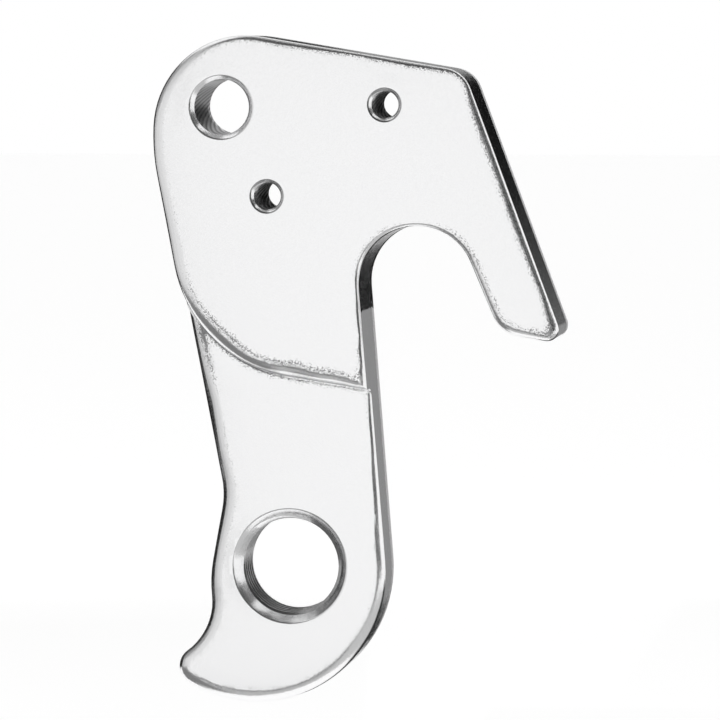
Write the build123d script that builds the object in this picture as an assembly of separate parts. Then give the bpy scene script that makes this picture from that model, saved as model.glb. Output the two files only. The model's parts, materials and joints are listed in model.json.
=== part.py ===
from build123d import *
import os
from math import asin, atan2, cos, degrees, hypot, radians, sin

# Bicycle derailleur hanger for the right-hand dropout: one forged aluminium piece, drilled and tapped.
# It is drawn lying on its flat back face, with x forward on the bicycle, y up and z outboard, and is
# stood upright at the end. The origin is on the back face, halfway between the two frame screw holes.
# All lengths are millimetres and all angles are degrees.

# Thicknesses, from the back face
PAD_THICKNESS = 9.2
LEG_THICKNESS = 6.4

# Straight edges of the pad: distance from the origin, and lean from upright or slope from level
REAR_EDGE_OFFSET = 16.07
REAR_EDGE_LEAN = 10.8
TOP_EDGE_OFFSET = 9.35
TOP_EDGE_SLOPE = 9.5
FRONT_EDGE_OFFSET = 14.62
FRONT_EDGE_LEAN = 20.5
STEP_EDGE_OFFSET = 21.38
STEP_EDGE_SLOPE = 8.4

# Corners of the pad
SHOULDER_START_BELOW = 2.3
SHOULDER_REAR_RADIUS = 20.0
SHOULDER_TOP_RADIUS = 8.75
TOP_CORNER_RADIUS = 2.8
STEP_RADIUS = 12.7

# Axle slot, open downwards; the prong in front of it ends in a sloping nose
AXLE_FORWARD = 8.47
AXLE_BELOW = 12.38
SLOT_RADIUS = 5.42
SLOT_FLARE = 23.0
NOSE_DROP = 3.2
NOSE_SLOPE = 9.0
NOSE_FRONT_RADIUS = 1.1
NOSE_REAR_RADIUS = 3.2

# Derailleur hole, placed from the axle
DERAILLEUR_BEHIND_AXLE = 12.3
DERAILLEUR_BELOW_AXLE = 26.6
DERAILLEUR_BORE = 8.95
DERAILLEUR_CHAMFER = 0.9
DERAILLEUR_BACK_CHAMFER = 0.5

# Leg around the derailleur hole: round lobe, stop claw with its hollow, and the waist above them
LEG_SETBACK = 0.05
LOBE_RADIUS = 12.45
LOBE_BEHIND_HOLE = 3.45
LOBE_BELOW_HOLE = 0.5
HOLLOW_RADIUS = 5.8
HOLLOW_BEHIND_HOLE = 13.35
HOLLOW_BELOW_HOLE = 3.55
CLAW_TIP_RADIUS = 1.8
HOLE_WALL_OFFSET = 7.4
HOLE_WALL_LEAN = 10.2
HOLE_WALL_RADIUS = 12.0
WAIST_RADIUS = 8.0

# Two tapped holes for the frame screws, either side of the origin
SCREW_SPACING = 13.9
SCREW_RISE = 37.6
SCREW_BORE = 2.5
SCREW_CHAMFER = 0.3

# Plain eyelet behind the upper screw hole
EYELET_BEHIND = 9.8
EYELET_ABOVE = 4.0
EYELET_BORE = 5.15
EYELET_CHAMFER = 0.4

# Edge rounds
PAD_ROUND = 0.75
LEG_ROUND = 0.9
BACK_ROUND = 0.3
FOOT_ROUND = 0.5

AXLE = (AXLE_FORWARD, -AXLE_BELOW)
DERAILLEUR = (AXLE[0] - DERAILLEUR_BEHIND_AXLE, AXLE[1] - DERAILLEUR_BELOW_AXLE)
LOBE = (DERAILLEUR[0] - LOBE_BEHIND_HOLE, DERAILLEUR[1] - LOBE_BELOW_HOLE)
HOLLOW = (DERAILLEUR[0] - HOLLOW_BEHIND_HOLE, DERAILLEUR[1] - HOLLOW_BELOW_HOLE)
EYELET = (-EYELET_BEHIND, EYELET_ABOVE)


def polar(centre, radius, angle):
    """Point at a distance and a direction from a centre."""
    return (centre[0] + radius * cos(radians(angle)), centre[1] + radius * sin(radians(angle)))


def edge_line(offset, facing, centre=(0, 0)):
    """Straight edge at a distance from a centre: a point on it and the direction that it faces."""
    return polar(centre, offset, facing), facing


def meet(first, second):
    """Point where two straight edges cross."""
    (p, a), (q, b) = first, second
    reach = ((q[0] - p[0]) * cos(radians(b)) + (q[1] - p[1]) * sin(radians(b))) / sin(radians(b - a))
    return polar(p, reach, a + 90)


def meet_circle(edge, centre, radius, side):
    """Point where a straight edge crosses a circle, left (+1) or right (-1) of the way that it faces."""
    point, facing = edge
    square = (point[0] - centre[0]) * cos(radians(facing)) + (point[1] - centre[1]) * sin(radians(facing))
    return polar(polar(centre, square, facing), side * (radius**2 - square**2) ** 0.5, facing + 90)


def meet_circles(first, first_radius, second, second_radius):
    """Point where two circles cross, on the left of the way from the first centre to the second."""
    reach = hypot(second[0] - first[0], second[1] - first[1])
    heading = degrees(atan2(second[1] - first[1], second[0] - first[0]))
    along = (reach**2 + first_radius**2 - second_radius**2) / (2 * reach)
    return polar(polar(first, along, heading), (first_radius**2 - along**2) ** 0.5, heading + 90)


# Straight edges, each named after its place on the bicycle
REAR_EDGE = edge_line(REAR_EDGE_OFFSET, 180 + REAR_EDGE_LEAN)
TOP_EDGE = edge_line(TOP_EDGE_OFFSET, 90 - TOP_EDGE_SLOPE)
FRONT_EDGE = edge_line(FRONT_EDGE_OFFSET, FRONT_EDGE_LEAN)
STEP_EDGE = edge_line(STEP_EDGE_OFFSET, 270 - STEP_EDGE_SLOPE)
SLOT_FRONT_EDGE = edge_line(SLOT_RADIUS, SLOT_FLARE, AXLE)
NOSE_EDGE = edge_line(NOSE_DROP, 270 - NOSE_SLOPE, AXLE)
LEG_REAR_EDGE = edge_line(REAR_EDGE_OFFSET - LEG_SETBACK, 180 + REAR_EDGE_LEAN)
HOLE_WALL_EDGE = edge_line(HOLE_WALL_OFFSET, 180 - HOLE_WALL_LEAN, DERAILLEUR)

# One straight wall runs from the rear of the slot down to the lobe, tangent to both
LOBE_REACH = hypot(AXLE[0] - LOBE[0], AXLE[1] - LOBE[1])
LOBE_HEADING = degrees(atan2(AXLE[1] - LOBE[1], AXLE[0] - LOBE[0]))
LEG_FRONT_FACING = LOBE_HEADING - 90 + degrees(asin((SLOT_RADIUS + LOBE_RADIUS) / LOBE_REACH))
LEG_FRONT_EDGE = edge_line(LOBE_RADIUS, LEG_FRONT_FACING, LOBE)
SLOT_REAR = polar(AXLE, SLOT_RADIUS, LEG_FRONT_FACING + 180)
STEP_FRONT = meet(STEP_EDGE, LEG_FRONT_EDGE)


def round_corners(outline, corners):
    """Round each listed corner of an outline by its own radius."""
    for point, radius in corners:
        outline = fillet(outline.vertices().sort_by_distance((*point, 0))[0], radius)
    return outline


def pad_outline():
    """Upper plate: shoulder, top, prong, axle slot and the curved step edge."""
    rear_start = meet(REAR_EDGE, edge_line(SHOULDER_START_BELOW, 270))
    rear_centre = polar(rear_start, SHOULDER_REAR_RADIUS, REAR_EDGE_LEAN)
    top_centre = meet_circle(
        edge_line(TOP_EDGE_OFFSET - SHOULDER_TOP_RADIUS, 90 - TOP_EDGE_SLOPE),
        rear_centre,
        SHOULDER_REAR_RADIUS - SHOULDER_TOP_RADIUS,
        1,
    )
    change = degrees(atan2(top_centre[1] - rear_centre[1], top_centre[0] - rear_centre[0])) % 360
    rear_arc = CenterArc(rear_centre, SHOULDER_REAR_RADIUS, change, 180 + REAR_EDGE_LEAN - change)
    top_arc = CenterArc(top_centre, SHOULDER_TOP_RADIUS, 90 - TOP_EDGE_SLOPE, change - 90 + TOP_EDGE_SLOPE)
    top_corner = meet(TOP_EDGE, FRONT_EDGE)
    nose_front = meet(FRONT_EDGE, NOSE_EDGE)
    nose_rear = meet(NOSE_EDGE, SLOT_FRONT_EDGE)
    slot_front = polar(AXLE, SLOT_RADIUS, SLOT_FLARE)
    slot_top = polar(AXLE, SLOT_RADIUS, 90)
    step_rear = meet(STEP_EDGE, REAR_EDGE)
    outline = make_face(
        rear_arc
        + top_arc
        + Polyline(top_arc @ 0, top_corner, nose_front, nose_rear, slot_front)
        + ThreePointArc(slot_front, slot_top, SLOT_REAR)
        + Polyline(SLOT_REAR, STEP_FRONT, step_rear, rear_arc @ 1)
    )
    corners = (
        (top_corner, TOP_CORNER_RADIUS),
        (nose_front, NOSE_FRONT_RADIUS),
        (nose_rear, NOSE_REAR_RADIUS),
        (step_rear, STEP_RADIUS),
    )
    return round_corners(outline, corners)


def leg_outline():
    """Lower plate: a tongue that runs up inside the pad, the waist, the stop claw and the lobe."""
    tongue_front = ((SLOT_REAR[0] + STEP_FRONT[0]) / 2, (SLOT_REAR[1] + STEP_FRONT[1]) / 2)
    tongue_rear = polar(meet(STEP_EDGE, LEG_REAR_EDGE), STEP_RADIUS, 90 + REAR_EDGE_LEAN)
    lobe_front = polar(LOBE, LOBE_RADIUS, LEG_FRONT_FACING)
    lobe_bottom = polar(LOBE, LOBE_RADIUS, 270)
    claw_tip = meet_circles(LOBE, LOBE_RADIUS, HOLLOW, HOLLOW_RADIUS)
    hollow_middle = polar(HOLLOW, HOLLOW_RADIUS, 0)
    hollow_top = meet_circle(HOLE_WALL_EDGE, HOLLOW, HOLLOW_RADIUS, -1)
    waist = meet(HOLE_WALL_EDGE, LEG_REAR_EDGE)
    outline = make_face(
        Polyline(tongue_rear, tongue_front, lobe_front)
        + ThreePointArc(lobe_front, lobe_bottom, claw_tip)
        + ThreePointArc(claw_tip, hollow_middle, hollow_top)
        + Polyline(hollow_top, waist, tongue_rear)
    )
    corners = (
        (claw_tip, CLAW_TIP_RADIUS),
        (hollow_top, HOLE_WALL_RADIUS),
        (waist, WAIST_RADIUS),
    )
    return round_corners(outline, corners)


def plate(outline, thickness, front_round):
    """Plate standing on its back face, with its front and back edges rounded."""
    block = extrude(outline, amount=thickness)
    block = fillet(block.edges().group_by(Axis.Z)[-1], front_round)
    return fillet(block.edges().group_by(Axis.Z)[0], BACK_ROUND)


def drill(centre, bore, depth, front_chamfer, back_chamfer):
    """Cutter for a through hole, chamfered where it opens on the front and on the back."""
    wall = bore / 2
    profile = Polyline(
        (0, 0),
        (wall + back_chamfer, 0),
        (wall, back_chamfer),
        (wall, depth - front_chamfer),
        (wall + front_chamfer, depth),
        (0, depth),
        close=True,
    )
    return Pos(*centre) * revolve(make_face(Plane.XZ * profile), Axis.Z)


def step_foot(leg):
    """Hollow round at the foot of the step, run along the step edge and trimmed to the leg."""
    facing = STEP_EDGE[1]
    front_end = polar(STEP_FRONT, 2 * FOOT_ROUND, facing + 90)
    step_rear = meet(STEP_EDGE, REAR_EDGE)
    rear_end = polar(step_rear, 2 * STEP_RADIUS, 90 + REAR_EDGE_LEAN)
    path = FilletPolyline(front_end, step_rear, rear_end, radius=STEP_RADIUS)
    across = Plane((*front_end, LEG_THICKNESS), (*polar((0, 0), 1, facing), 0), path % 0)
    reach = 1.1 * FOOT_ROUND
    bite = 0.1 * FOOT_ROUND
    middle = (1 - 0.5**0.5) * FOOT_ROUND
    buried = LEG_THICKNESS / 2
    profile = ThreePointArc((-bite, reach), (middle, middle), (reach, -bite)) + Polyline(
        (reach, -bite), (reach, -buried), (-buried, -buried), (-buried, reach), (-bite, reach)
    )
    foot = sweep(across * make_face(profile), path)
    return foot & extrude(leg, amount=PAD_THICKNESS)


def hanger():
    """The whole hanger, upright, with its outboard side towards -Y and its back face at Y = 0."""
    leg = leg_outline()
    body = plate(pad_outline(), PAD_THICKNESS, PAD_ROUND) + plate(leg, LEG_THICKNESS, LEG_ROUND)
    body += step_foot(leg)
    for facing in (SCREW_RISE, SCREW_RISE + 180):
        screw = polar((0, 0), SCREW_SPACING / 2, facing)
        body -= drill(screw, SCREW_BORE, PAD_THICKNESS, SCREW_CHAMFER, SCREW_CHAMFER)
    body -= drill(EYELET, EYELET_BORE, PAD_THICKNESS, EYELET_CHAMFER, EYELET_CHAMFER)
    body -= drill(DERAILLEUR, DERAILLEUR_BORE, LEG_THICKNESS, DERAILLEUR_CHAMFER, DERAILLEUR_BACK_CHAMFER)
    return Plane.XZ * body


if __name__ == "__main__":
    os.makedirs("parts", exist_ok=True)
    export_step(hanger(), "parts/hanger.step")
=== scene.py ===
"""Bicycle derailleur hanger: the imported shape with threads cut, in bright metal, on a studio stage."""

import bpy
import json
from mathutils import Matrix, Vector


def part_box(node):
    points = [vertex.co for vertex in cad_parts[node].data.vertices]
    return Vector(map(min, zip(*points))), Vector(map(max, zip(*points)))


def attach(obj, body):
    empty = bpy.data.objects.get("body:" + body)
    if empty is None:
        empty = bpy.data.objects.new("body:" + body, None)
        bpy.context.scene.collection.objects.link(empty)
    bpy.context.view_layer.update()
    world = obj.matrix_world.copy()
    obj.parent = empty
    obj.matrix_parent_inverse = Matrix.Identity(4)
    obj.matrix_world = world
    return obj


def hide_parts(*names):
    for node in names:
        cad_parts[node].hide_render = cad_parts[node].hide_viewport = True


bl_info = {
    "name": "Derailleur hanger",
    "version": (1, 0, 0),
    "blender": (4, 5, 0),
    "location": "View3D > Sidebar > Hanger",
    "description": "Dresses the packed derailleur hanger and sets a studio stage round it",
    "category": "Add Mesh",
}

import json
from math import atan2, ceil, cos, exp, hypot, radians, sin, tau

import bmesh
import bpy
from bpy.props import FloatProperty, FloatVectorProperty, PointerProperty
from mathutils import Matrix, Vector
from mathutils.bvhtree import BVHTree
from mathutils.kdtree import KDTree

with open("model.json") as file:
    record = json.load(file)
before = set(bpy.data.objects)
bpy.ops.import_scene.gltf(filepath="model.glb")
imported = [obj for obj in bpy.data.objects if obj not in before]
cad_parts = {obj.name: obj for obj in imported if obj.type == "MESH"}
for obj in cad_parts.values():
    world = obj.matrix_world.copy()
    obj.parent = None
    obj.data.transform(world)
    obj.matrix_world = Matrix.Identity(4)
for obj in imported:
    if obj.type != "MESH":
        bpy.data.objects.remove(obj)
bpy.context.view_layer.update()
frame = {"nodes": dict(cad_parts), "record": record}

# Millimetres in a metre. Lengths below are in metres unless they say otherwise.
MM = 1000

MOUNTS = {mount["name"]: mount for mount in frame["record"]["mounts"]}
PAD_FRONT = MOUNTS["axle_nut_face"]["pos_m"][1]
LEG_FRONT = MOUNTS["derailleur_face"]["pos_m"][1]

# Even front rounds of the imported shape, and how far behind each front face its wall is straight.
PAD_ROUND = 0.00075
PAD_WALL_DEPTH = 0.0013
LEG_ROUND = 0.0009
LEG_WALL_DEPTH = 0.0014

# How much shade is painted on the wall of each hole, from 0 to 1.
HOLES = {"derailleur_hole": 0.0, "screw_hole_front": 0.9, "screw_hole_rear": 0.9, "eyelet": 0.22}
# How much shade is painted on thread flanks, and the dark reflection painted on the derailleur hole's
# chamfer: how dark it is, how far it is turned below the level, and how narrow it is.
FLANK_SHADE = 0.5
CHAMFER_SHADE = 0.7
CHAMFER_SHADE_TURN = radians(28)
CHAMFER_SHADE_NARROW = 1.5

# How far outside a bore its wall, its thread and its rim can reach, and where edge rounds can begin.
BORE_SLACK = 0.0001
THREAD_REACH = 0.0006
RIM_REACH = 0.0012
ROUND_CLEARANCE = 0.0014

# How much of a face's normal runs along the holes: at least, at most, or between two limits.
FLAT_LEAST = 0.9999
DOMED_LEAST = 0.998
ROUND_LEAST = 0.02
WALL_MOST = 0.3
FLANK_RANGE = (0.78, 0.95)

# Mesh work: merged points, grid cells on rounds and on flat faces, broken rims, slivers and angles.
SAME_PLACE = 1e-6
ROUND_CELL = 0.0012
FLAT_CELL = 0.0006
RIM_BREAK = 0.0001
RIM_SEGMENTS = 3
SLIVER = 0.000008
SEAM_ANGLE = radians(0.2)
SHARP_ANGLE = radians(35)
# How front rounds are found: half the strip of wall that is searched, and how far off points may lie.
WALL_STRIP = 0.0002
OFF_ROUND = 0.00002
INSET_SLACK = 1e-5
FRONT_SLACK = 0.0001

# Thread groove: half its width at the bore and at its bottom, in pitches. The cutter begins inside the
# bore by a share of the groove's depth, and in front of the part by so many pitches.
GROOVE_MOUTH = 0.375
GROOVE_BOTTOM = 0.0625
CUTTER_INSIDE = 0.3
CUTTER_LEAD = 1.5
EXTRA_TURNS = 3
DERAILLEUR_FACETS = 64
SCREW_FACETS = 32

# Edge rounds as they are dressed, in millimetres: place (x, z) on the outline, how far the round
# reaches over the face, how deep it goes down the wall, and how much grit there is with painted shade:
# dark specks for grain and for the shade where the edge falls away. At 1 the very edge is all specks.
PAD_EDGES = (
    (-16.0, -2.0, 1.05, 0.42, 0.05), (-14.5, 6.0, 1.05, 0.60, 0.05), (-8.0, 12.0, 0.38, 0.34, 0.3),
    (3.0, 9.0, 0.26, 0.25, 0.5), (12.0, 7.0, 0.26, 0.25, 0.6), (15.5, 3.0, 0.54, 0.48, 1.05),
    (18.0, -6.0, 0.58, 0.52, 1.05), (20.5, -13.0, 0.46, 0.42, 0.7), (21.5, -16.5, 0.70, 0.60, 1.0),
    (17.5, -17.0, 0.92, 0.75, 0.3), (13.5, -13.0, 0.70, 0.56, 0.3), (8.5, -7.0, 0.38, 0.34, 0.1),
    (3.2, -13.0, 0.34, 0.31, 0.1), (3.4, -17.0, 0.36, 0.33, 0.1), (3.5, -19.8, 0.42, 0.38, 0.3),
    (3.6, -21.4, 0.72, 0.70, 0.6), (3.0, -22.1, 0.78, 0.74, 0.7), (1.0, -21.8, 1.35, 1.05, 0.8),
    (-3.0, -21.0, 1.50, 1.20, 0.9), (-10.0, -17.5, 1.40, 1.15, 0.9), (-15.0, -10.0, 1.10, 0.48, 0.05),
)
LEG_EDGES = (
    (4.3, -22.5, 0.32, 0.30, 0.1), (5.0, -27.0, 0.46, 0.40, 0.0), (5.5, -32.0, 0.64, 0.54, 0.0),
    (5.2, -38.0, 0.90, 0.76, 0.1), (2.0, -47.0, 1.25, 1.00, 0.1), (-7.0, -52.0, 1.22, 1.00, 0.1),
    (-13.0, -50.0, 1.20, 1.00, 0.1), (-13.0, -47.5, 1.00, 0.80, 0.1), (-10.5, -42.0, 1.30, 1.10, 0.1),
    (-9.5, -32.0, 1.40, 1.15, 0.1), (-11.0, -24.0, 1.40, 1.40, 0.0), (-13.0, -16.0, 1.00, 0.80, 1.8),
    (-9.0, -19.5, 1.00, 0.80, 0.95), (-3.0, -21.8, 1.00, 0.80, 0.6), (2.5, -22.4, 0.50, 0.40, 0.6),
)
# Square millimetres that soften a row's pull on points close to it.
ROW_SOFTNESS = 0.05

# How the front faces fall away, in millimetres: broadly, close to the outline, and over the round.
DOME_FALL = 0.040
DOME_REACH = 3.0
EDGE_FALL = 0.012
EDGE_REACH = 0.8
ROLL_FALL = 0.028


class HangerThreads(bpy.types.PropertyGroup):
    """Sizes of the tapped holes"""

    derailleur_major: FloatProperty(
        name="Derailleur thread", description="Diameter at the bottom of the derailleur hole's thread",
        default=0.0100, unit="LENGTH")
    derailleur_pitch: FloatProperty(
        name="Derailleur pitch", description="Distance between two turns of the derailleur hole's thread",
        default=0.0010, unit="LENGTH")
    screw_major: FloatProperty(
        name="Screw thread", description="Diameter at the bottom of the frame screws' thread",
        default=0.0030, unit="LENGTH")
    screw_pitch: FloatProperty(
        name="Screw pitch", description="Distance between two turns of the frame screws' thread",
        default=0.0005, unit="LENGTH")


class HangerMetal(bpy.types.PropertyGroup):
    """Colour and finish of the bright metal"""

    colour: FloatVectorProperty(
        name="Metal", description="Colour of the bright blasted metal",
        default=(0.945, 0.945, 0.95), size=3, min=0.0, max=1.0, subtype="COLOR")
    # This colour paints the dark specks of grit and edge shade, the shade in the holes and the dark
    # reflections on the slot's bend and the derailleur hole's chamfer.
    speck: FloatVectorProperty(
        name="Speck", description="Colour of specks, dirt and raw metal",
        default=(0.05, 0.05, 0.052), size=3, min=0.0, max=1.0, subtype="COLOR")
    roughness: FloatProperty(
        name="Roughness", description="Roughness of the blasted faces",
        default=0.20, min=0.0, max=1.0, subtype="FACTOR")


class HangerStage(bpy.types.PropertyGroup):
    """Camera, floor and studio round the part"""

    azimuth: FloatProperty(
        name="Azimuth", description="Camera's turn to the right of the front",
        default=radians(8.25), subtype="ANGLE")
    elevation: FloatProperty(
        name="Elevation", description="Camera's height above the horizon",
        default=radians(3.7), subtype="ANGLE")
    distance: FloatProperty(
        name="Distance", description="From the camera to the point it looks at",
        default=0.440, unit="LENGTH")
    target: FloatVectorProperty(
        name="Target", description="Point that the camera looks at",
        default=(0.003231, -0.0092, -0.019374), size=3, subtype="XYZ", unit="LENGTH")
    lens: FloatProperty(
        name="Lens", description="Focal length on a 36 mm sensor", default=237.6, unit="CAMERA")
    floor_drop: FloatProperty(
        name="Floor drop", description="Gap between the part's lowest point and the floor",
        default=0.035, unit="LENGTH")
    floor_colour: FloatVectorProperty(
        name="Floor", description="Colour of the floor", default=(0.88, 0.88, 0.88), size=3,
        min=0.0, max=1.0, subtype="COLOR")


def finished_mesh(context, obj):
    """Replace an object's mesh by what its modifiers make of it."""
    depsgraph = context.evaluated_depsgraph_get()
    made = bpy.data.meshes.new_from_object(obj.evaluated_get(depsgraph))
    old = obj.data
    obj.modifiers.clear()
    obj.data = made
    made.name = obj.name
    bpy.data.meshes.remove(old)


def add_object(context, name, bm):
    """Turn a bmesh into a linked object."""
    mesh = bpy.data.meshes.new(name)
    bm.to_mesh(mesh)
    bm.free()
    obj = bpy.data.objects.new(name, mesh)
    context.scene.collection.objects.link(obj)
    return obj


def hole_place(name):
    """Axis (x, z) and bore radius of a hole."""
    x, _, z = MOUNTS[name]["pos_m"]
    return x, z, MOUNTS[name]["dims"]["r_mm"] / MM


def in_hole(point, margin):
    """Whether a point lies within a hole's bore, or no further than a margin outside it."""
    for x, z, radius in map(hole_place, HOLES):
        if hypot(point.x - x, point.z - z) < radius + margin:
            return True
    return False


def hole_shade(face):
    """How much shade is painted on a hole's face: its wall, a thread flank, or the dark reflection
    painted on the derailleur hole's chamfer.
    """
    lean = abs(face.normal.y)
    flank_least, flank_most = FLANK_RANGE
    for name, wall in HOLES.items():
        x, z, radius = hole_place(name)
        aside, above = face.center.x - x, face.center.z - z
        beyond = hypot(aside, above) - radius
        if beyond > RIM_REACH:
            continue
        if lean < WALL_MOST:
            return wall
        if flank_least < lean < flank_most and beyond < THREAD_REACH and name != "eyelet":
            return FLANK_SHADE
        # Dark reflection painted on one side of the derailleur hole's chamfer.
        if lean < flank_least and name == "derailleur_hole":
            return CHAMFER_SHADE * max(cos(atan2(above, aside) + CHAMFER_SHADE_TURN), 0.0) ** CHAMFER_SHADE_NARROW
    return 0.0


def is_flat(face):
    """Whether a face lies square to the holes."""
    return abs(face.normal.y) > FLAT_LEAST


def is_round(face):
    """Whether a face belongs to the rounds along the front edges."""
    leans = -FLAT_LEAST < face.normal.y < -ROUND_LEAST
    return leans and not in_hole(face.calc_center_median(), ROUND_CLEARANCE)


def cut_cells(bm, spacing, wanted):
    """Cut the wanted faces by an even grid of planes along both sides of the part."""
    low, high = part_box("hanger")
    for axis, (start, end) in ((0, (low.x, high.x)), (2, (low.z, high.z))):
        normal = Vector((0, 0, 0))
        normal[axis] = 1
        for step in range(1, ceil((end - start) / spacing)):
            faces = [face for face in bm.faces if wanted(face)]
            edges = {edge for face in faces for edge in face.edges}
            verts = {vert for face in faces for vert in face.verts}
            bmesh.ops.bisect_plane(
                bm, geom=[*verts, *edges, *faces],
                plane_co=normal * (start + step * spacing), plane_no=normal)


def outer_walls(bm, depth):
    """Search tree of the outer walls, cut out as a thin strip at one depth."""
    strip = bm.copy()
    for shift, inner in ((-WALL_STRIP, True), (WALL_STRIP, False)):
        bmesh.ops.bisect_plane(
            strip, geom=[*strip.verts, *strip.edges, *strip.faces], plane_co=(0, depth + shift, 0),
            plane_no=(0, 1, 0), clear_inner=inner, clear_outer=not inner)
    holes = [face for face in strip.faces if in_hole(face.calc_center_median(), BORE_SLACK)]
    bmesh.ops.delete(strip, geom=holes, context="FACES")
    tree = BVHTree.FromBMesh(strip)
    strip.free()
    return tree


def along(rows, point):
    """Reach, depth and grit with painted shade of the edge dressing at a point, blended from the rows
    that lie nearest.
    """
    gaps = [hypot(point.x * MM - row[0], point.z * MM - row[1]) for row in rows]
    weights = [1 / (gap**2 + ROW_SOFTNESS) for gap in gaps]
    return [sum(w * row[key] for w, row in zip(weights, rows)) / sum(weights) for key in (2, 3, 4)]


def dress_edges(bm, front, wall_depth, radius, rows):
    """Turn an even front round into one whose reach and depth change along the outline."""
    depth = front + wall_depth
    walls = outer_walls(bm, depth)
    for vert in bm.verts:
        drop = vert.co.y - front
        if drop < -SAME_PLACE or drop > radius + SAME_PLACE or in_hole(vert.co, RIM_REACH):
            continue
        corner = walls.find_nearest(Vector((vert.co.x, depth, vert.co.z)))[0]
        inset = hypot(vert.co.x - corner.x, vert.co.z - corner.z)
        off_round = abs(hypot(radius - inset, radius - drop) - radius)
        if off_round > OFF_ROUND or inset > radius + INSET_SLACK:
            continue
        reach, fall, _ = [value / MM for value in along(rows, corner)]
        vert.co = Vector((
            corner.x + reach / radius * (vert.co.x - corner.x), front + fall / radius * drop,
            corner.z + reach / radius * (vert.co.z - corner.z)))


def parts_flat(element):
    """Whether an edge or a vertex parts flat faces from others."""
    return len({is_flat(face) for face in element.link_faces}) == 2


def ease_holes(bm):
    """Break the sharp rims of the holes."""
    rims = [
        edge for edge in bm.edges
        if parts_flat(edge) and all(in_hole(vert.co, RIM_REACH) for vert in edge.verts)]
    bmesh.ops.bevel(
        bm, geom=rims, offset=RIM_BREAK, offset_type="OFFSET", segments=RIM_SEGMENTS, profile=0.5,
        affect="EDGES", material=-1)


def mark_edges(bm):
    """Note on every vertex how far it lies inside the outline, in millimetres, and its grit and painted
    shade.
    """
    rim = [vert for vert in bm.verts if parts_flat(vert) and not in_hole(vert.co, RIM_REACH)]
    tree = KDTree(len(rim))
    for index, vert in enumerate(rim):
        tree.insert(vert.co, index)
    tree.balance()
    distance = bm.verts.layers.float.new("from_outline")
    grit_and_shade = bm.verts.layers.float.new("grit_and_shade")
    for vert in bm.verts:
        inside = all(is_flat(face) for face in vert.link_faces) or in_hole(vert.co, RIM_REACH)
        away = tree.find(vert.co)[2] * MM
        vert[distance] = away if inside else -away
        rows = PAD_EDGES if vert.co.y < LEG_FRONT - FRONT_SLACK else LEG_EDGES
        vert[grit_and_shade] = along(rows, vert.co)[2]


def dome_faces(bm):
    """Let the front faces fall away slightly towards the outline."""
    distance = bm.verts.layers.float["from_outline"]
    for front, rows in ((PAD_FRONT, PAD_EDGES), (LEG_FRONT, LEG_EDGES)):
        depth = max(row[3] for row in rows) / MM
        for vert in bm.verts:
            drop = vert.co.y - front
            if -SAME_PLACE < drop < depth and not in_hole(vert.co, RIM_REACH):
                away = max(vert[distance], 0.0)
                beyond = max(-vert[distance], 0.0)
                dome = DOME_FALL * exp(-away / DOME_REACH)
                fall = dome + EDGE_FALL * exp(-away / EDGE_REACH) + ROLL_FALL * beyond
                vert.co.y += fall / MM * (1 - (drop / depth) ** 2)


def dressed_shape():
    """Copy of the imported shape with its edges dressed, its holes eased and its front faces domed."""
    bm = bmesh.new()
    bm.from_mesh(frame["nodes"]["hanger"].data)
    bmesh.ops.remove_doubles(bm, verts=bm.verts, dist=SAME_PLACE)
    seams = [edge for edge in bm.edges if all(is_flat(face) for face in edge.link_faces)]
    bmesh.ops.dissolve_limit(bm, angle_limit=SEAM_ANGLE, verts=[], edges=seams)
    cut_cells(bm, ROUND_CELL, is_round)
    dress_edges(bm, PAD_FRONT, PAD_WALL_DEPTH, PAD_ROUND, PAD_EDGES)
    dress_edges(bm, LEG_FRONT, LEG_WALL_DEPTH, LEG_ROUND, LEG_EDGES)
    ease_holes(bm)
    cut_cells(bm, FLAT_CELL, is_flat)
    mark_edges(bm)
    dome_faces(bm)
    bmesh.ops.dissolve_degenerate(bm, dist=SLIVER, edges=bm.edges)
    return bm


def thread_cutter(context, name, hole, major, pitch, facets):
    """A helical tooth that cuts one hole's thread from in front of the part to behind it."""
    axis_x, axis_z, minor = hole_place(hole)
    depth = major / 2 - minor
    inner = minor - CUTTER_INSIDE * depth
    flank = (GROOVE_MOUTH - GROOVE_BOTTOM) * pitch / depth
    mouth = GROOVE_MOUTH * pitch + flank * (minor - inner)
    bottom = GROOVE_BOTTOM * pitch
    low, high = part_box("hanger")
    start = low.y - CUTTER_LEAD * pitch
    turns = ceil((high.y - low.y) / pitch) + EXTRA_TURNS
    bm = bmesh.new()
    section = [(inner, -mouth), (major / 2, -bottom), (major / 2, bottom), (inner, mouth)]
    tooth = bm.faces.new([bm.verts.new((axis_x + r, start + y, axis_z)) for r, y in section])
    bmesh.ops.spin(
        bm, geom=[tooth, *tooth.edges, *tooth.verts], cent=(axis_x, start, axis_z), axis=(0, 1, 0),
        dvec=(0, pitch / facets, 0), angle=tau * turns, steps=facets * turns, use_merge=False)
    bmesh.ops.recalc_face_normals(bm, faces=bm.faces)
    return add_object(context, name, bm)


def tap_holes(context, body):
    """Cut the threads of the derailleur hole and the screw holes."""
    threads = context.scene.hanger_threads
    derailleur = (threads.derailleur_major, threads.derailleur_pitch, DERAILLEUR_FACETS)
    screw = (threads.screw_major, threads.screw_pitch, SCREW_FACETS)
    cutters = [
        thread_cutter(context, "derailleur_tap", "derailleur_hole", *derailleur),
        thread_cutter(context, "screw_tap_front", "screw_hole_front", *screw),
        thread_cutter(context, "screw_tap_rear", "screw_hole_rear", *screw),
    ]
    for cutter in cutters:
        cut = body.modifiers.new(cutter.name, "BOOLEAN")
        cut.object = cutter
        cut.solver = "EXACT"
        cut.operation = "DIFFERENCE"
    finished_mesh(context, body)
    for cutter in cutters:
        bpy.data.meshes.remove(cutter.data)


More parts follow.
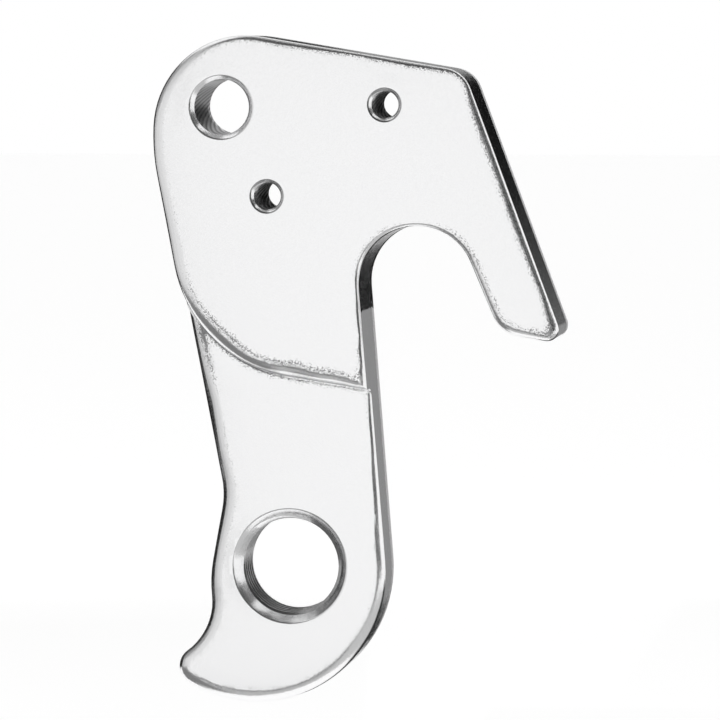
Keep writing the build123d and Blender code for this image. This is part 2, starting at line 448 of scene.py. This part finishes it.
def mark_holes(mesh):
    """Note on every face whether it is a bore's wall, and how much shade is painted on it."""
    bore = mesh.attributes.new("bore", "FLOAT", "FACE")
    bore.data.foreach_set("value", [
        float(abs(face.normal.y) < WALL_MOST and in_hole(face.center, THREAD_REACH))
        for face in mesh.polygons])
    # Shade painted on hole walls and thread flanks, and a dark reflection painted on the derailleur
    # hole's chamfer.
    shade_layer = mesh.attributes.new("hole_shade", "FLOAT", "FACE")
    shade_layer.data.foreach_set("value", [hole_shade(face) for face in mesh.polygons])


def crisp_rims(mesh):
    """Keep the flat faces flat in the shading up to the holes' eased rims."""
    bm = bmesh.new()
    bm.from_mesh(mesh)
    for edge in bm.edges:
        parts_domed = len({abs(face.normal.y) > DOMED_LEAST for face in edge.link_faces}) == 2
        if parts_domed and in_hole(edge.verts[0].co, RIM_REACH):
            edge.smooth = False
    bm.to_mesh(mesh)
    bm.free()


def shade(body):
    """Shade the rounds smooth and the faces flat, with sharp edges kept."""
    mesh = body.data
    mesh.attributes.remove(mesh.attributes["custom_normal"])
    mesh.shade_smooth()
    mesh.set_sharp_from_angle(angle=SHARP_ANGLE)
    crisp_rims(mesh)
    normals = body.modifiers.new("flat_faces", "WEIGHTED_NORMAL")
    normals.mode = "FACE_AREA_WITH_ANGLE"
    normals.keep_sharp = True


def calc(tree, operation, first, second=0.0):
    """Add a math node on two sockets or numbers and return its result."""
    made = tree.nodes.new("ShaderNodeMath")
    made.operation = operation
    for socket, value in zip(made.inputs, (first, second)):
        if isinstance(value, (int, float)):
            socket.default_value = value
        else:
            tree.links.new(value, socket)
    return made.outputs["Value"]


def plus(tree, first, second):
    """Sum of two sockets or numbers."""
    return calc(tree, "ADD", first, second)


def times(tree, first, second):
    """Product of two sockets or numbers."""
    return calc(tree, "MULTIPLY", first, second)


def split(tree, vector):
    """X, Y and Z of a vector socket."""
    made = tree.nodes.new("ShaderNodeSeparateXYZ")
    tree.links.new(vector, made.inputs["Vector"])
    return made.outputs["X"], made.outputs["Y"], made.outputs["Z"]


def ramp(tree, value, start, end, low, high):
    """Add a smooth range from one socket and return its result."""
    made = tree.nodes.new("ShaderNodeMapRange")
    made.interpolation_type = "SMOOTHSTEP"
    tree.links.new(value, made.inputs["Value"])
    for key, number in (("From Min", start), ("From Max", end), ("To Min", low), ("To Max", high)):
        made.inputs[key].default_value = number
    return made.outputs["Result"]


def between(tree, value, start, end, soft):
    """Mask that is 1 where a value lies between two limits, with soft ends."""
    rising = ramp(tree, value, start - soft, start + soft, 0.0, 1.0)
    return times(tree, rising, ramp(tree, value, end - soft, end + soft, 1.0, 0.0))


def noise(tree, place, scale, detail, stretch=(1, 1, 1)):
    """Add a noise of so many waves per millimetre and return its value."""
    mapping = tree.nodes.new("ShaderNodeMapping")
    mapping.inputs["Scale"].default_value = [MM * scale * side for side in stretch]
    tree.links.new(place, mapping.inputs["Vector"])
    made = tree.nodes.new("ShaderNodeTexNoise")
    made.inputs["Scale"].default_value = 1.0
    made.inputs["Detail"].default_value = detail
    tree.links.new(mapping.outputs["Vector"], made.inputs["Vector"])
    return made.outputs["Fac"]


def painted(tree, name):
    """Add a node that reads one of the mesh's own attributes and return its value."""
    made = tree.nodes.new("ShaderNodeAttribute")
    made.attribute_name = name
    return made.outputs["Fac"]


# Grains per metre, how dark and how tilted each may be, and how much more tilted where there is grit.
GRAINS = 14500.0
GRAIN_DARK = 0.035
GRAIN_TILT = 0.04
GRIT_TILT = 0.30
# Grit and its painted shade fade by this much per millimetre from the outline, and by a share of it over
# the round.
GRIT_AND_SHADE_FADE = 4.4
GRIT_AND_SHADE_ON_ROUND = 0.75
# Specks, painted dark for grain and for the shade where the edges fall away: how soft their edge is, and
# how dark they are.
SPECK_SOFT = 0.24
SPECK_DARK = 0.74
# A wall's normal leans to the front by less than the first limit, and by the second it is no wall.
WALL_LEAN = (0.05, 0.30)
# What walls, specks on walls and bores add to the roughness, and the worn rim at the back.
WALL_ROUGH = -0.07
SPECK_ROUGH = 0.12
BORE_ROUGH = 0.20
BACK_RIM_Y = (-0.0019, -0.0014)
BACK_RIM_ROUGH = 0.55
# Drawing marks along the walls: waves per millimetre, detail, stretch and height.
DRAWN_WAVES = 5.0
DRAWN_DETAIL = 2.0
DRAWN_STRETCH = (0.06, 1.0, 0.06)
DRAWN_HEIGHT = 0.000004
# Dark reflection painted on the wall in the bend of the slot: from and to, how soft and how ragged its
# ends are, and the share of its grains that stay bright.
BEND_PAINT_X = (0.0024, 0.0068)
BEND_PAINT_X_SOFT = 0.0003
BEND_PAINT_Z = (-0.0146, -0.0060)
BEND_PAINT_Z_SOFT = 0.00005
RAGGED_WAVES = 2.0
RAGGED_DETAIL = 1.0
RAGGED_HEIGHT = 0.0006
BEND_PAINT_BRIGHT = 0.07
# Painted shade in the holes, broken by slanting tool marks on the bores, in radians per metre, and
# patches.
MARK_SLOPE = 0.19
MARK_RADIANS = 15000.0
MARK_STRENGTH = 1.2
PATCH_WAVES = 1.5
PATCH_DETAIL = 3.0
PATCH_SPREAD = 0.9
PATCH_LEAST = 0.55


def grit_and_shade_fringe(tree):
    """How many dark specks are painted, for grit and for shade: most at the outline, fading over the face
    and down the round.
    """
    inward = painted(tree, "from_outline")
    away = calc(tree, "MAXIMUM", inward, times(tree, inward, -GRIT_AND_SHADE_ON_ROUND))
    fade = calc(tree, "EXPONENT", times(tree, away, -GRIT_AND_SHADE_FADE))
    return times(tree, painted(tree, "grit_and_shade"), fade)


def painted_bend_reflection(tree, place, wall, chance):
    """Mask of the dark reflection painted on the wall of the slot's bend, with bright grains left in it.
    """
    x, _, z = split(tree, place)
    ragged = plus(tree, z, times(tree, noise(tree, place, RAGGED_WAVES, RAGGED_DETAIL), RAGGED_HEIGHT))
    across = between(tree, x, *BEND_PAINT_X, BEND_PAINT_X_SOFT)
    bend = times(tree, across, between(tree, ragged, *BEND_PAINT_Z, BEND_PAINT_Z_SOFT))
    return times(tree, times(tree, bend, wall), calc(tree, "GREATER_THAN", chance, BEND_PAINT_BRIGHT))


def hole_shade_marks(tree, place, bore):
    """Painted shade on the holes' faces, broken into patches, with slanting tool marks on the bores."""
    _, y, z = split(tree, place)
    slant = calc(tree, "SUBTRACT", z, times(tree, y, MARK_SLOPE))
    marks = times(tree, calc(tree, "SINE", times(tree, slant, MARK_RADIANS)), MARK_STRENGTH)
    patches = times(tree, noise(tree, place, PATCH_WAVES, PATCH_DETAIL), PATCH_SPREAD)
    shadows = plus(tree, plus(tree, patches, PATCH_LEAST), times(tree, marks, bore))
    return times(tree, painted(tree, "hole_shade"), shadows)


def metal_roughness(tree, roughness, place, wall, speck, bore):
    """Roughness of the faces, with smoother walls, rougher specks and bores, and the worn back rim."""
    _, y, _ = split(tree, place)
    back_rim = times(tree, wall, ramp(tree, y, *BACK_RIM_Y, 0.0, BACK_RIM_ROUGH))
    smooth = plus(tree, roughness, times(tree, wall, WALL_ROUGH))
    marks = times(tree, times(tree, speck, wall), SPECK_ROUGH)
    total = plus(tree, smooth, plus(tree, marks, times(tree, bore, BORE_ROUGH)))
    return calc(tree, "MAXIMUM", total, back_rim)


def metal_normal(tree, place, grain_colour, fringe, wall):
    """Normal tilted at random on every grain, with drawing marks along the walls."""
    tilt = tree.nodes.new("ShaderNodeVectorMath")
    tilt.operation = "SUBTRACT"
    tilt.inputs[1].default_value = (0.5, 0.5, 0.5)
    tree.links.new(grain_colour, tilt.inputs[0])
    facet = tree.nodes.new("ShaderNodeVectorMath")
    facet.operation = "MULTIPLY_ADD"
    tree.links.new(tilt.outputs["Vector"], facet.inputs[0])
    tree.links.new(plus(tree, GRAIN_TILT, times(tree, fringe, GRIT_TILT)), facet.inputs[1])
    tree.links.new(tree.nodes.new("ShaderNodeNewGeometry").outputs["Normal"], facet.inputs[2])
    drawn = noise(tree, place, DRAWN_WAVES, DRAWN_DETAIL, DRAWN_STRETCH)
    bump = tree.nodes.new("ShaderNodeBump")
    bump.inputs["Strength"].default_value = 1.0
    bump.inputs["Distance"].default_value = 1.0
    tree.links.new(times(tree, times(tree, drawn, wall), DRAWN_HEIGHT), bump.inputs["Height"])
    tree.links.new(facet.outputs["Vector"], bump.inputs["Normal"])
    return bump.outputs["Normal"]


def bright_metal(finish):
    """Blasted bright metal: fine grain, edges speckled with grit and painted shade, shade painted in the
    holes, dark reflections painted on the slot's bend and the derailleur hole's chamfer, drawn walls,
    rough bores and a worn back rim.
    """
    material = bpy.data.materials.new("bright_blasted_metal")
    material.use_nodes = True
    tree = material.node_tree
    shader = tree.nodes["Principled BSDF"]
    shader.inputs["Metallic"].default_value = 1.0
    coords = tree.nodes.new("ShaderNodeTexCoord")
    place = coords.outputs["Object"]
    _, lean, _ = split(tree, coords.outputs["Normal"])
    wall = ramp(tree, calc(tree, "ABSOLUTE", lean), *WALL_LEAN, 1.0, 0.0)
    bore = painted(tree, "bore")
    fringe = grit_and_shade_fringe(tree)

    grains = tree.nodes.new("ShaderNodeTexVoronoi")
    grains.inputs["Scale"].default_value = GRAINS
    tree.links.new(place, grains.inputs["Vector"])
    chance = tree.nodes.new("ShaderNodeSeparateColor")
    tree.links.new(grains.outputs["Color"], chance.inputs["Color"])
    # Dark specks painted near the outline: grain, and painted shade where the faces fall away.
    excess = calc(tree, "SUBTRACT", fringe, chance.outputs["Red"])
    speck = ramp(tree, excess, 0.0, SPECK_SOFT, 0.0, 1.0)

    grainy = times(tree, chance.outputs["Blue"], GRAIN_DARK)
    mottle = plus(tree, times(tree, speck, SPECK_DARK), grainy)
    # Painted shade in the holes.
    dark = calc(tree, "MAXIMUM", mottle, hole_shade_marks(tree, place, bore))
    # Dark reflection painted on the wall of the slot's bend.
    dark = calc(tree, "MAXIMUM", dark, painted_bend_reflection(tree, place, wall, chance.outputs["Green"]))
    tone = tree.nodes.new("ShaderNodeMix")
    tone.data_type = "RGBA"
    tone.inputs["A"].default_value = (*finish.colour, 1.0)
    tone.inputs["B"].default_value = (*finish.speck, 1.0)
    tree.links.new(dark, tone.inputs["Factor"])
    tree.links.new(tone.outputs["Result"], shader.inputs["Base Color"])
    tree.links.new(tone.outputs["Result"], shader.inputs["Specular Tint"])

    rough = metal_roughness(tree, finish.roughness, place, wall, speck, bore)
    tree.links.new(rough, shader.inputs["Roughness"])
    normal = metal_normal(tree, place, grains.outputs["Color"], fringe, wall)
    tree.links.new(normal, shader.inputs["Normal"])
    return material


class HANGER_OT_body(bpy.types.Operator):
    """Make the hanger's metal body with its threads cut in"""

    bl_idname = "hanger.body"
    bl_label = "Hanger body"
    bl_options = {"REGISTER", "UNDO"}

    def execute(self, context):
        body = add_object(context, "hanger_body", dressed_shape())
        tap_holes(context, body)
        mark_holes(body.data)
        shade(body)
        body.data.materials.clear()
        body.data.materials.append(bright_metal(context.scene.hanger_metal))
        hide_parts("hanger")
        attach(body, "root")
        return {"FINISHED"}


# Studio cards: name, turn from and to, rise from and to in degrees, and tone. What would hang below the
# floor lies on it.
CARDS = (
    ("card_front", -17, 12, -27, 15, 1.0),
    ("card_front_left", -36, -17, -20, 15, 0.80),
    ("card_left_front", -60, -36, -18, 13, 0.72),
    ("card_left", -84, -60, -18, 13, 0.55),
    ("flag_back_left", -172, -84, -18, 13, 0.02),
    ("card_over_left", -60, -14, 15, 28, 0.62),
    ("card_high_left", -60, -34, 28, 48, 0.50),
    ("card_high_side", -92, -60, 13, 48, 0.32),
    ("flag_high_left", -168, -92, 13, 38, 0.06),
    ("flag_right_lobe", 12, 34, -24, -13, 0.32),
    ("flag_right_hole", 12, 38, -13, -7, 0.32),
    ("flag_right_thread", 38, 56, -13, -7, 0.45),
    ("flag_right_leg", 12, 66, -7, 0, 0.06),
    ("flag_right_slot", 12, 58, 0, 7, 0.06),
    ("flag_right_middle", 12, 70, 7, 15, 0.22),
    ("flag_right_high", 12, 80, 15, 45, 0.09),
    ("flag_over", -14, 12, 15, 28, 0.10),
    ("flag_over_high", -34, 12, 28, 72, 0.10),
    ("flag_over_right", 12, 60, 45, 72, 0.10),
    ("card_zenith", -180, 180, 74, 90, 0.34),
    ("card_back", 179, 189, 0, 26, 0.30),
    ("flag_back_high", 138, 179, 4.2, 26, 0.008),
    ("card_back_middle", 138, 179, 1.4, 4.2, 0.08),
    ("card_back_right", 138, 180, -14.6, 1.4, 0.28),
    ("floor_back_right", 106, 184, -66, -14.6, 0.03),
    ("floor_right", 12, 106, -64, -24, 0.55),
    ("floor_front", -36, 12, -64, -41, 0.48),
    ("floor_front_far", -36, 12, -41, -27, 0.22),
    ("floor_left", -95, -36, -62, -18, 0.20),
)
CARD_RADIUS = 0.4
CARD_ROWS = 12
CARD_COLUMNS = 24
CARD_ABOVE_FLOOR = 0.0005

# Floor: half its side, its roughness, and how much it glows where it is seen directly.
FLOOR_HALF = 4.0
FLOOR_ROUGHNESS = 0.9
FLOOR_GLOW = 0.25
# Strength of the white world, as a light and where it is seen directly.
WORLD_LIGHT = 0.8
WORLD_SEEN = 1.0
SOFTBOX_SIZE = 0.5
SOFTBOX_POWER = 1.2
SOFTBOX_OFFSET = (-0.25, -0.35, 0.6)
SENSOR_WIDTH = 36.0
CLIP_RANGE = (0.01, 20.0)


def seen_directly(tree):
    """Socket that is 1 for camera, glossy and transmission rays and 0 for the rest."""
    path = tree.nodes.new("ShaderNodeLightPath")
    total = path.outputs["Is Camera Ray"]
    for name in ("Is Glossy Ray", "Is Transmission Ray"):
        total = calc(tree, "MAXIMUM", total, path.outputs[name])
    return total


def pale_floor(stage):
    """Pale floor that the camera sees near white, with the part's shadow left on it."""
    material = bpy.data.materials.new("pale_floor")
    material.use_nodes = True
    tree = material.node_tree
    shader = tree.nodes["Principled BSDF"]
    shader.inputs["Base Color"].default_value = (*stage.floor_colour, 1.0)
    shader.inputs["Roughness"].default_value = FLOOR_ROUGHNESS
    shader.inputs["Emission Color"].default_value = (1, 1, 1, 1)
    tree.links.new(times(tree, seen_directly(tree), FLOOR_GLOW), shader.inputs["Emission Strength"])
    return material


def only_reflected(card, tone):
    """Give a studio card its tone and show it to reflections only."""
    material = bpy.data.materials.new(card.name)
    material.use_nodes = True
    shader = material.node_tree.nodes["Principled BSDF"]
    shader.inputs["Base Color"].default_value = (0, 0, 0, 1)
    shader.inputs["Specular IOR Level"].default_value = 0.0
    shader.inputs["Emission Color"].default_value = (tone, tone, tone, 1)
    shader.inputs["Emission Strength"].default_value = 1.0
    card.data.materials.append(material)
    card.visible_camera = False
    card.visible_diffuse = False
    card.visible_shadow = False


def reflector(context, name, centre, clearance, turn_from, turn_to, rise_from, rise_to, tone):
    """Curved studio card that only reflections see, laid on the floor where it would dip below."""
    bm = bmesh.new()
    profile = []
    for step in range(CARD_ROWS + 1):
        rise = rise_from + (rise_to - rise_from) * step / CARD_ROWS
        reach = min(CARD_RADIUS, clearance / sin(-rise)) if rise < 0 else CARD_RADIUS
        profile.append(bm.verts.new((0, -reach * cos(rise), reach * sin(rise))))
    for pair in zip(profile, profile[1:]):
        bm.edges.new(pair)
    bmesh.ops.rotate(bm, verts=bm.verts, cent=(0, 0, 0), matrix=Matrix.Rotation(turn_from, 3, "Z"))
    bmesh.ops.spin(
        bm, geom=[*bm.verts, *bm.edges], cent=(0, 0, 0), axis=(0, 0, 1),
        angle=turn_to - turn_from, steps=CARD_COLUMNS)
    bmesh.ops.translate(bm, verts=bm.verts, vec=centre)
    only_reflected(add_object(context, name, bm), tone)


def add_camera(scene, stage):
    """Aim the scene's camera at the part."""
    turn, rise = stage.azimuth, stage.elevation
    back = Vector((sin(turn) * cos(rise), -cos(turn) * cos(rise), sin(rise)))
    camera = bpy.data.objects.new("camera", bpy.data.cameras.new("camera"))
    camera.data.lens = stage.lens
    camera.data.sensor_width = SENSOR_WIDTH
    camera.data.clip_start, camera.data.clip_end = CLIP_RANGE
    camera.location = Vector(stage.target) + stage.distance * back
    camera.rotation_euler = back.to_track_quat("Z", "Y").to_euler()
    scene.collection.objects.link(camera)
    scene.camera = camera


def add_world(scene):
    """White world that lights the part a little less than it shows."""
    world = bpy.data.worlds.new("studio")
    world.use_nodes = True
    tree = world.node_tree
    background = tree.nodes["Background"]
    background.inputs["Color"].default_value = (1, 1, 1, 1)
    level = tree.nodes.new("ShaderNodeMapRange")
    level.inputs["To Min"].default_value = WORLD_LIGHT
    level.inputs["To Max"].default_value = WORLD_SEEN
    tree.links.new(seen_directly(tree), level.inputs["Value"])
    tree.links.new(level.outputs["Result"], background.inputs["Strength"])
    scene.world = world


def add_floor(context, stage, height):
    """Lay the floor at a height."""
    bm = bmesh.new()
    bmesh.ops.create_grid(bm, x_segments=1, y_segments=1, size=FLOOR_HALF)
    bmesh.ops.translate(bm, verts=bm.verts, vec=(0, 0, height))
    floor = add_object(context, "floor", bm)
    floor.data.materials.append(pale_floor(stage))


def add_softbox(scene, centre):
    """Hang the soft light over the part's front left."""
    lamp = bpy.data.objects.new("softbox", bpy.data.lights.new("softbox", "AREA"))
    lamp.data.size = SOFTBOX_SIZE
    lamp.data.energy = SOFTBOX_POWER
    lamp.location = centre + Vector(SOFTBOX_OFFSET)
    lamp.rotation_euler = (lamp.location - centre).to_track_quat("Z", "Y").to_euler()
    lamp.visible_glossy = False
    scene.collection.objects.link(lamp)


class HANGER_OT_stage(bpy.types.Operator):
    """Make the floor, the studio light and the camera"""

    bl_idname = "hanger.stage"
    bl_label = "Studio stage"
    bl_options = {"REGISTER", "UNDO"}

    def execute(self, context):
        scene = context.scene
        stage = scene.hanger_stage
        scene.view_settings.view_transform = "Standard"
        low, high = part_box("hanger")
        centre = (low + high) / 2
        add_camera(scene, stage)
        add_world(scene)
        add_floor(context, stage, low.z - stage.floor_drop)
        clearance = centre.z - low.z + stage.floor_drop - CARD_ABOVE_FLOOR
        for name, *angles, tone in CARDS:
            reflector(context, name, centre, clearance, *map(radians, angles), tone)
        add_softbox(scene, centre)
        return {"FINISHED"}


class HANGER_PT_panel(bpy.types.Panel):
    """Sidebar panel that lists the hanger's operators and settings"""

    bl_idname = "HANGER_PT_panel"
    bl_label = "Derailleur hanger"
    bl_space_type = "VIEW_3D"
    bl_region_type = "UI"
    bl_category = "Hanger"

    def draw(self, context):
        column = self.layout.column()
        for operator in OPERATORS:
            column.operator(operator.bl_idname)
        for name in SETTINGS:
            group = getattr(context.scene, name)
            box = self.layout.box()
            for key in group.__annotations__:
                box.prop(group, key)


OPERATORS = (HANGER_OT_body, HANGER_OT_stage)
SETTINGS = {
    "hanger_threads": HangerThreads,
    "hanger_metal": HangerMetal,
    "hanger_stage": HangerStage,
}
CLASSES = (*SETTINGS.values(), *OPERATORS, HANGER_PT_panel)


def register():
    for cls in CLASSES:
        bpy.utils.register_class(cls)
    for name, group in SETTINGS.items():
        setattr(bpy.types.Scene, name, PointerProperty(type=group))


def unregister():
    for name in SETTINGS:
        delattr(bpy.types.Scene, name)
    for cls in reversed(CLASSES):
        bpy.utils.unregister_class(cls)


def main():
    register()
    bpy.ops.hanger.body()
    bpy.ops.hanger.stage()


if __name__ == "__main__":
    main()
